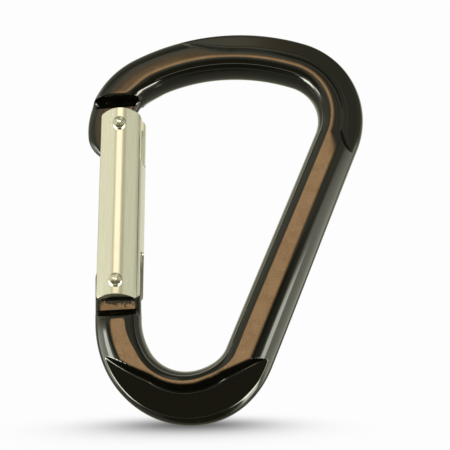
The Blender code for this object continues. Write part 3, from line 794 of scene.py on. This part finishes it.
def turned(name, profile, steps):
    """Turned shape about Z from (radius, height) pairs."""
    points = [(radius * MM, 0, height * MM) for radius, height in profile]
    mesh = bpy.data.meshes.new(name)
    mesh.from_pydata(points, [(i, i + 1) for i in range(len(points) - 1)], [])
    item = new_object(name, mesh)
    screw = item.modifiers.new("turn", "SCREW")
    screw.steps = steps
    screw.render_steps = steps
    screw.use_merge_vertices = True
    screw.merge_threshold = TURNED_WELD
    apply_all(item)
    weld(item.data, TURNED_WELD)
    return item


# ---- the pieces ----
def make_frame_body():
    """Loft of the sections, with the hinge's bore and the latch rivet's notch cut out."""
    rings, shares = zip(*(ring(s) for s in stations()))
    mesh = mesh_from_rings("frame_body", rings, dict(zip(SHARE_NAMES, zip(*shares))))
    item = new_object("frame_body", mesh)
    bore = cylinder("bore_cutter", PIN_RADIUS + GAP, -HALF_DEPTH, HALF_DEPTH, (PIN_X, HINGE_Z), "Y")
    half = PIN_RADIUS + GAP + NOTCH_PLAY
    low = LATCH_Z - half
    high = LATCH_Z + half
    outline = arc((PIN_X, LATCH_Z), half, 90, 270, 24)
    outline += [(PIN_X + NOTCH_STRAIGHT, low), (PIN_X + NOTCH_MOUTH, low - NOTCH_FLARES[0]),
                (PIN_X + NOTCH_MOUTH, high + NOTCH_FLARES[1]), (PIN_X + NOTCH_STRAIGHT, high)]
    notch = prism("notch_cutter", outline, -HALF_DEPTH - 1, HALF_DEPTH + 1, "Y")
    boolean(item, bore)
    boolean(item, notch)
    apply_all(item, (bore, notch))
    smooth(item, SHARP_ANGLE)
    return item


def gate_section():
    """Outline of the bar across its length: crowned faces and sides, rounded where they meet."""
    spread = math.degrees(math.asin(GATE_HALF / FACE_RADIUS))
    front = arc((PIN_X, -(GATE_FACE - FACE_RADIUS)), FACE_RADIUS, -90 - spread, -90 + spread, 48)
    spread = math.degrees(math.asin(GATE_EDGE / SIDE_RADIUS))
    right = arc((PIN_X + GATE_SIDE - SIDE_RADIUS, 0), SIDE_RADIUS, -spread, spread, 16)
    # the points beside each corner are left out, so that its rounding has room
    half = [front[0], *front[2:-2], front[-1], *right[2:-2]]
    corner = len(front) - 3
    outline = half + [(2 * PIN_X - x, -y) for x, y in half]
    corners = (0, corner, len(half), len(half) + corner)
    return round_corners(outline, {i: GATE_CORNER for i in corners})


def gate_silhouette():
    """Outline of the bar seen from the front: rounded top, nearly square bottom."""
    radius = arc_radius(GATE_HALF, GATE_TOP_ARC)
    spread = math.degrees(math.asin(GATE_HALF / radius)) - math.degrees(CHEEK_CORNER / radius)
    top = arc((PIN_X, GATE_TOP - radius), radius, 90 - spread, 90 + spread, 40)
    corner_start = Vector((PIN_X + CHEEK_HALF, top[0][1] - CHEEK_CORNER * 1.3))
    corner_peak = Vector((PIN_X + CHEEK_HALF, top[0][1] - CHEEK_CORNER * 0.25))
    right = quadratic(corner_start, corner_peak, Vector(top[0]), 6)[:-1]
    left = [(2 * PIN_X - x, z) for x, z in reversed(right)]
    wide = GATE_SIDE + 1
    narrow = UPPER_SLOT_END + 0.5
    low = GATE_BOTTOM + END_CORNER + wide - GATE_HALF
    outline = [(PIN_X + wide, low), (PIN_X + wide, narrow - 2), (PIN_X + CHEEK_HALF, narrow)]
    outline += right + top + left
    outline += [(PIN_X - CHEEK_HALF, narrow), (PIN_X - wide, narrow - 2), (PIN_X - wide, low)]
    outline += [(PIN_X - GATE_HALF + END_CORNER, GATE_BOTTOM), (PIN_X + GATE_HALF - END_CORNER, GATE_BOTTOM)]
    return outline


def gate_side_view():
    """Outline that holds the bar seen from the side, with the chamfers under both cheeks."""
    reach = GATE_FACE + 1
    foot = GATE_FACE - END_CHAMFER_DEPTH
    low = GATE_BOTTOM + END_CHAMFER + END_CHAMFER / END_CHAMFER_DEPTH
    high = GATE_TOP + 2
    return [(-reach, low), (-foot, GATE_BOTTOM), (foot, GATE_BOTTOM), (reach, low),
            (reach, high), (-reach, high)]


def slot_outline(end, far):
    """Slot seen from the front: its end is level in the middle and falls back at the sides."""
    inner = GATE_HALF - SHOULDER_WIDTH
    outer = GATE_SIDE + 1.5
    drop = SHOULDER * (1 if far > end else -1)
    outline = [(PIN_X - outer, far), (PIN_X - outer, end - 2.2 * drop),
               (PIN_X - GATE_SIDE, end - drop), (PIN_X - inner, end),
               (PIN_X + inner, end), (PIN_X + GATE_SIDE, end - drop),
               (PIN_X + outer, end - 2.2 * drop), (PIN_X + outer, far)]
    return round_corners(outline, {3: SLOT_CORNER, 4: SLOT_CORNER})


def crown_normals(item):
    """Exact normals on the crowned faces and sides of the bar, which the slots and holes would disturb."""
    crowns = [(PIN_X, side * (GATE_FACE - FACE_RADIUS), FACE_RADIUS) for side in (-1, 1)]
    crowns += [(PIN_X + side * (GATE_SIDE - SIDE_RADIUS), 0.0, SIDE_RADIUS) for side in (-1, 1)]
    mesh = item.data
    normals = [(0.0, 0.0, 0.0)] * len(mesh.loops)
    for polygon in mesh.polygons:
        corners = [mesh.vertices[v].co / MM for v in polygon.vertices]
        for x, y, radius in crowns:
            outward = Vector((polygon.center.x / MM - x, polygon.center.y / MM - y, 0)).normalized()
            gaps = [abs(math.hypot(c.x - x, c.y - y) - radius) for c in corners]
            if max(gaps) < CROWN_GAP and outward.dot(polygon.normal) > 0.99:
                for loop, c in zip(polygon.loop_indices, corners):
                    normals[loop] = tuple(Vector((c.x - x, c.y - y, 0)).normalized())
    mesh.normals_split_custom_set(normals)


def make_gate_body():
    """Bar with both slots, the rivets' bores and the spring's bore cut out."""
    reach = GATE_FACE + 2
    item = prism("gate_body", gate_section(), GATE_BOTTOM - 1, GATE_TOP + 1, "Z")
    holders = [prism("ends_cutter", gate_silhouette(), -reach, reach, "Y"),
               prism("chamfer_cutter", gate_side_view(), PIN_X - 10, PIN_X + 10, "X")]
    cutters = [prism(name, slot_outline(end, far), -SLOT_HALF, SLOT_HALF, "Y")
               for name, end, far in (("lower_cutter", LOWER_SLOT_END, GATE_BOTTOM - 3),
                                      ("upper_cutter", UPPER_SLOT_END, GATE_TOP + 3))]
    cutters += [cylinder("spring_cutter", BORE_RADIUS, LOWER_SLOT_END - 1, BORE_TOP, (BORE_X, 0), "Z")]
    cutters += [cylinder(name, PIN_RADIUS + GAP, -reach, reach, (PIN_X, height), "Y")
                for name, height in (("hinge_cutter", HINGE_Z), ("latch_cutter", LATCH_Z))]
    for holder in holders:
        boolean(item, holder, "INTERSECT")
    for cutter in cutters:
        boolean(item, cutter)
    apply_all(item, holders + cutters)
    bevel(item, GATE_BEVEL, 3, 30)
    apply_all(item)
    smooth(item, SHARP_ANGLE)
    crown_normals(item)
    return item


def rivet_profile():
    """Half of a rivet's outline from the middle of one head to the middle of the other."""
    crown = HEAD_Y + HEAD_RISE
    head = [(0.0, crown - DIMPLE_DEPTH)]
    head += [(DIMPLE_RADIUS * t, crown - DIMPLE_DEPTH * (1 - t * t) ** DIMPLE_BLUNTNESS - 0.02)
             for t in DIMPLE_SHARES]
    head.append((DIMPLE_RADIUS * 1.05, crown - 0.01))
    for degrees in range(68, 4, -7):
        angle = math.radians(degrees)
        head.append((HEAD_RADIUS * math.cos(angle),
                     HEAD_Y + HEAD_SKIRT + (HEAD_RISE - HEAD_SKIRT) * math.sin(angle)))
    head += [(HEAD_RADIUS, HEAD_Y + HEAD_BREAK[1]), (HEAD_RADIUS - HEAD_BREAK[0], HEAD_Y),
             (PIN_RADIUS, HEAD_Y)]
    return head + [(radius, -height) for radius, height in reversed(head)]


def make_rivet(name, height):
    item = turned(name, rivet_profile(), 64)
    place = Matrix.Translation((PIN_X * MM, 0, height * MM))
    item.data.transform(place @ Matrix.Rotation(math.pi / 2, 4, "X"))
    smooth(item, SHARP_ANGLE)
    return item


def make_coil():
    """Round-wire compression coil of even pitch, between the plunger's head and the top of the bore."""
    low = LUG_TOP[1] + GAP + PLUNGER_HEAD + WIRE_RADIUS + GAP
    high = BORE_TOP - WIRE_RADIUS - GAP
    curve = bpy.data.curves.new("spring_coil", "CURVE")
    curve.dimensions = "3D"
    curve.bevel_depth = WIRE_RADIUS * MM
    curve.bevel_resolution = 3
    curve.use_fill_caps = True
    spline = curve.splines.new("POLY")
    count = COIL_TURNS * COIL_STEPS
    spline.points.add(count)
    for i, point in enumerate(spline.points):
        angle = 2 * math.pi * i / COIL_STEPS
        height = low + (high - low) * i / count
        point.co = (COIL_RADIUS * math.cos(angle) * MM, COIL_RADIUS * math.sin(angle) * MM, height * MM, 1)
    drawn = new_object("spring_curve", curve)
    drawn.location = (BORE_X * MM, 0, 0)
    bpy.context.view_layer.update()
    mesh = bpy.data.meshes.new_from_object(drawn.evaluated_get(bpy.context.evaluated_depsgraph_get()))
    mesh.transform(drawn.matrix_world)
    bpy.data.objects.remove(drawn, do_unlink=True)
    item = new_object("spring_coil", mesh)
    smooth(item, COIL_ANGLE)
    return item


def make_plunger_body():
    foot = LUG_TOP[1] + GAP
    head = foot + PLUNGER_HEAD
    profile = [(0.0, STEM_TOP), (STEM_RADIUS - PLUNGER_CHAMFER, STEM_TOP),
               (STEM_RADIUS, STEM_TOP - PLUNGER_CHAMFER), (STEM_RADIUS, head + STEM_FILLET),
               (STEM_RADIUS + STEM_FILLET, head), (PLUNGER_RADIUS - PLUNGER_EDGE, head),
               (PLUNGER_RADIUS, head - PLUNGER_EDGE), (PLUNGER_RADIUS, foot + PLUNGER_CHAMFER),
               (PLUNGER_RADIUS - PLUNGER_CHAMFER, foot), (0.0, foot)]
    item = turned("plunger_body", profile, 48)
    item.data.transform(Matrix.Translation((BORE_X * MM, 0, 0)))
    smooth(item, SHARP_ANGLE)
    return item


# ---- node helpers ----
class Nodes:
    """Small helper that adds nodes to a tree and sets or links their inputs."""

    def __init__(self, tree):
        self.tree = tree

    def fill(self, node, inputs):
        for key, value in inputs.items():
            if hasattr(value, "links"):
                self.tree.links.new(value, node.inputs[key])
            else:
                node.inputs[key].default_value = value
        return node

    def add(self, kind, inputs=(), **settings):
        node = self.tree.nodes.new(kind)
        for key, value in settings.items():
            setattr(node, key, value)
        return self.fill(node, dict(inputs))

    def math(self, operation, first, second=0.0):
        return self.add("ShaderNodeMath", {0: first, 1: second}, operation=operation).outputs[0]

    def times(self, first, second):
        return self.math("MULTIPLY", first, second)

    def distance(self, value, middle):
        return self.math("ABSOLUTE", self.math("SUBTRACT", value, middle))

    def ramp(self, value, low, high, out_low=0.0, out_high=1.0):
        """Smooth step of value from low to high."""
        ends = {"Value": value, "From Min": low, "From Max": high, "To Min": out_low, "To Max": out_high}
        return self.add("ShaderNodeMapRange", ends, interpolation_type="SMOOTHSTEP").outputs["Result"]

    def band(self, value, middle, half, soft):
        """1 within half of the middle, 0 beyond."""
        return self.ramp(self.distance(value, middle), half - soft, half + soft, 1.0, 0.0)

    def mix(self, share, first, second):
        first, second = (end if hasattr(end, "links") else (*end, 1.0) for end in (first, second))
        ends = {"Factor": share, 6: first, 7: second}
        return self.add("ShaderNodeMix", ends, data_type="RGBA").outputs[2]

    def noise(self, vector, scale, detail, roughness):
        settings = {"Vector": vector, "Scale": scale, "Detail": detail, "Roughness": roughness}
        return self.add("ShaderNodeTexNoise", settings).outputs["Fac"]

    def stretch(self, vector, scale):
        return self.add("ShaderNodeMapping", {"Vector": vector, "Scale": scale}).outputs["Vector"]

    def parts(self, vector):
        return self.add("ShaderNodeSeparateXYZ", {0: vector}).outputs

    def attribute(self, name):
        return self.add("ShaderNodeAttribute", attribute_name=name).outputs["Fac"]

    def bump(self, height, distance, normal=None):
        node = self.add("ShaderNodeBump", {"Height": height, "Distance": distance, "Strength": 1.0})
        if normal is not None:
            self.fill(node, {"Normal": normal})
        return node.outputs["Normal"]


def start_material(name):
    material = bpy.data.materials.new(name)
    material.use_nodes = True
    tree = material.node_tree
    shader = tree.nodes["Principled BSDF"]
    nodes = Nodes(tree)
    place = nodes.add("ShaderNodeTexCoord").outputs["Object"]
    return material, nodes, shader, place


def gate_shade_share(nodes, place):
    """Painted shade of the gate on the lug: 1 above the ragged edge of the strip of painted reflection, 0
    elsewhere.
    """
    x, _, z = nodes.parts(place)
    x = nodes.math("DIVIDE", x, MM)
    z = nodes.math("DIVIDE", z, MM)
    ragged = nodes.math("ADD", z, nodes.times(nodes.noise(place, *RAGGED), RAGGED_REACH))
    edge = LUG_TOP[1] - HINGE_STEP + STRIP_HEIGHT + RAGGED_REACH / 2
    above = nodes.ramp(ragged, edge, edge + RAGGED_SOFTNESS)
    beside = nodes.math("LESS_THAN", x, PIN_X + LUG_REACH[0])
    below = nodes.math("LESS_THAN", z, HINGE_Z + LUG_REACH[1])
    return nodes.times(above, nodes.times(beside, below))


def frame_material():
    """Glossy black anodising; the faces left flat by the forging die carry a painted reflection, a mottled
    bronze sheen in the base colour.
    """
    material, nodes, shader, place = start_material("black_anodised")
    flat, pocket, wall = (nodes.attribute(name) for name in SHARE_NAMES)
    grain = nodes.noise(place, *GRAIN)
    cloud = nodes.noise(place, *CLOUD)
    # painted shade: the gate's shade takes the painted reflection off the lug above a ragged edge
    flat = nodes.times(flat, nodes.math("SUBTRACT", 1.0, gate_shade_share(nodes, place)))
    # painted reflection on the flats: mottled bronze mixed into the base colour
    sheen_colour = nodes.mix(nodes.ramp(cloud, 0.3, 0.7), PAINTED_SHEEN_DARK, PAINTED_SHEEN)
    sheen_colour = nodes.mix(nodes.ramp(grain, 0.42, 0.72, 0.0, 0.7), sheen_colour, PAINTED_SHEEN_LIGHT)
    black = nodes.mix(nodes.ramp(cloud, 0.3, 0.7), FRAME_BLACK, FRAME_OLIVE)
    # painted reflection: pocket floors lighter and warmer
    black = nodes.mix(pocket, black, POCKET_BLACK)
    fine = nodes.ramp(grain, 0.2, 0.8, FRAME_ROUGHNESS * 0.7, FRAME_ROUGHNESS * 1.3)
    rough = nodes.math("ADD", fine, nodes.times(flat, FLAT_ROUGHNESS))
    # painted shade: the walls of the pockets and steps are dulled
    shine = nodes.ramp(wall, 0.0, 1.0, FRAME_SHINE, WALL_SHINE)
    shine = nodes.times(shine, nodes.ramp(flat, 0.0, 0.3, 1.0, FLAT_SHINE))
    normal = nodes.bump(nodes.noise(place, *ORANGE_PEEL), ORANGE_PEEL_HEIGHT)
    normal = nodes.bump(nodes.times(grain, flat), GRAIN_HEIGHT, normal)
    nodes.fill(shader, {"Base Color": nodes.mix(flat, black, sheen_colour), "Roughness": rough, "IOR": FRAME_IOR,
                        "Specular IOR Level": shine, "Normal": normal})
    return material


def gate_material():
    """Satin aluminium with fine grinding lines along its length."""
    material, nodes, shader, place = start_material("satin_aluminium")
    lines = nodes.noise(nodes.stretch(place, GRINDING), 1.0, 3.0, 0.6)
    cloud = nodes.noise(place, *GATE_CLOUD)
    colour = nodes.mix(nodes.ramp(lines, 0.3, 0.7), GATE_SHADE, GATE_COLOUR)
    rough = nodes.ramp(cloud, 0.25, 0.75, GATE_ROUGHNESS * 0.88, GATE_ROUGHNESS * 1.12)
    nodes.fill(shader, {"Base Color": colour, "Roughness": rough, "Metallic": 1.0,
                        "Normal": nodes.bump(lines, GRINDING_HEIGHT)})
    return material


def steel_material(name, colour, roughness, ring_scale):
    """Turned steel: fine marks and slight tarnish."""
    material, nodes, shader, place = start_material(name)
    cloud = nodes.noise(place, *STEEL_CLOUD)
    lines = nodes.noise(nodes.stretch(place, (TURNING, TURNING, ring_scale)), 1.0, 2.0, 0.5)
    dark = tuple(value * STEEL_TARNISH for value in colour)
    colour = nodes.mix(nodes.ramp(cloud, 0.3, 0.75), dark, colour)
    rough = nodes.ramp(lines, 0.3, 0.7, roughness * 0.8, roughness * 1.25)
    nodes.fill(shader, {"Base Color": colour, "Roughness": rough, "Metallic": 1.0,
                        "Normal": nodes.bump(lines, TURNING_HEIGHT)})
    return material


# ---- studio ----
def make_world():
    """White backdrop for the camera, even light for matt faces, and a studio of panels for reflections."""
    world = bpy.data.worlds.new("studio")
    bpy.context.scene.world = world
    world.use_nodes = True
    world.cycles.sampling_method = "NONE"
    tree = world.node_tree
    tree.nodes.clear()
    nodes = Nodes(tree)
    x, y, z = nodes.parts(nodes.add("ShaderNodeTexCoord").outputs["Generated"])
    azimuth = nodes.math("ARCTAN2", x, nodes.times(y, -1.0))
    azimuth = nodes.times(azimuth, 180 / math.pi)
    elevation = nodes.times(nodes.math("ARCSINE", z), 180 / math.pi)
    colour = nodes.mix(nodes.ramp(elevation, -HORIZON_SOFTNESS, HORIZON_SOFTNESS), ROOM_BELOW, ROOM_ABOVE)
    start, height, tall, tint = BACK_PANEL
    side_soft, soft = BACK_SOFTNESS
    round_back = nodes.ramp(nodes.math("ABSOLUTE", azimuth), start - side_soft, start)
    share = nodes.times(round_back, nodes.band(elevation, height, tall, soft))
    colour = nodes.mix(share, colour, tint)
    for _, middle, height, wide, tall, soft, tint in PANELS:
        share = nodes.band(elevation, height, tall, soft)
        share = nodes.times(nodes.band(azimuth, middle, wide, soft), share)
        colour = nodes.mix(share, colour, tint)
    path = nodes.add("ShaderNodeLightPath")
    seen = nodes.mix(path.outputs["Is Glossy Ray"], MATT_LIGHT, colour)
    seen = nodes.mix(path.outputs["Is Camera Ray"], seen, BACKDROP)
    background = nodes.add("ShaderNodeBackground", {"Color": seen})
    nodes.add("ShaderNodeOutputWorld", {"Surface": background.outputs[0]})


def make_floor():
    """Large pale floor with a painted soft contact shadow, shaped like that of broad overhead light."""
    corners = [(x * FLOOR_HALF, y * FLOOR_HALF, 0) for x, y in ((-1, -1), (1, -1), (1, 1), (-1, 1))]
    mesh = bpy.data.meshes.new("floor")
    mesh.from_pydata(corners, [], [(0, 1, 2, 3)])
    item = new_object("floor", mesh)
    material = bpy.data.materials.new("floor_white")
    material.use_nodes = True
    tree = material.node_tree
    tree.nodes.clear()
    nodes = Nodes(tree)
    x, y, _ = nodes.parts(nodes.add("ShaderNodeNewGeometry").outputs["Position"])
    # painted shadow: darker in a soft ellipse round the contact
    across = nodes.math("DIVIDE", nodes.distance(x, SHADOW_X * MM), SHADOW_WIDE * MM)
    along = nodes.math("DIVIDE", nodes.distance(y, SHADOW_Y * MM), SHADOW_LONG * MM)
    spread = nodes.math("ADD", nodes.math("POWER", across, 2.0), nodes.math("POWER", along, 2.0))
    fall = nodes.math("EXPONENT", nodes.times(spread, -0.5))
    colour = nodes.mix(nodes.times(fall, SHADOW_DEPTH), BACKDROP, (0.0, 0.0, 0.0))
    glow = nodes.add("ShaderNodeEmission", {"Color": colour})
    nodes.add("ShaderNodeOutputMaterial", {"Surface": glow.outputs[0]})
    item.data.materials.append(material)
    item.visible_glossy = False
    item.visible_diffuse = False


def make_camera():
    camera = bpy.data.cameras.new("camera")
    camera.sensor_width = 36.0
    camera.lens = CAMERA_LENS
    camera.clip_start = 0.01
    camera.clip_end = 200.0
    item = new_object("camera", camera)
    item.location = Vector(CAMERA_PLACE) * MM
    aim = Vector(CAMERA_AIM) * MM - item.location
    item.rotation_euler = aim.to_track_quat("-Z", "Y").to_euler()
    bpy.context.scene.camera = item


def main():
    finishes = {"frame_finish": frame_material(), "gate_metal": gate_material()}
    for slot_name, *settings in STEELS:
        finishes[slot_name] = steel_material(*settings)
    pieces = ((make_frame_body(), "frame", "body", "frame_finish"),
              (make_gate_body(), "gate", "gate", "gate_metal"),
              (make_rivet("hinge_rivet", HINGE_Z), "hinge_pin", "gate", "rivet_steel"),
              (make_rivet("latch_rivet", LATCH_Z), "latch_pin", "gate", "rivet_steel"),
              (make_coil(), "return_spring", "gate", "spring_steel"),
              (make_plunger_body(), "plunger", "follower", "plunger_steel"))
    for item, node, body, slot_name in pieces:
        item.data.materials.clear()
        item.data.materials.append(finishes[slot_name])
        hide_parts(node)
        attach(item, body)
        if node == "return_spring":
            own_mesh(item)
    make_world()
    make_floor()
    make_camera()
    bpy.context.scene.view_settings.view_transform = "Standard"


main()
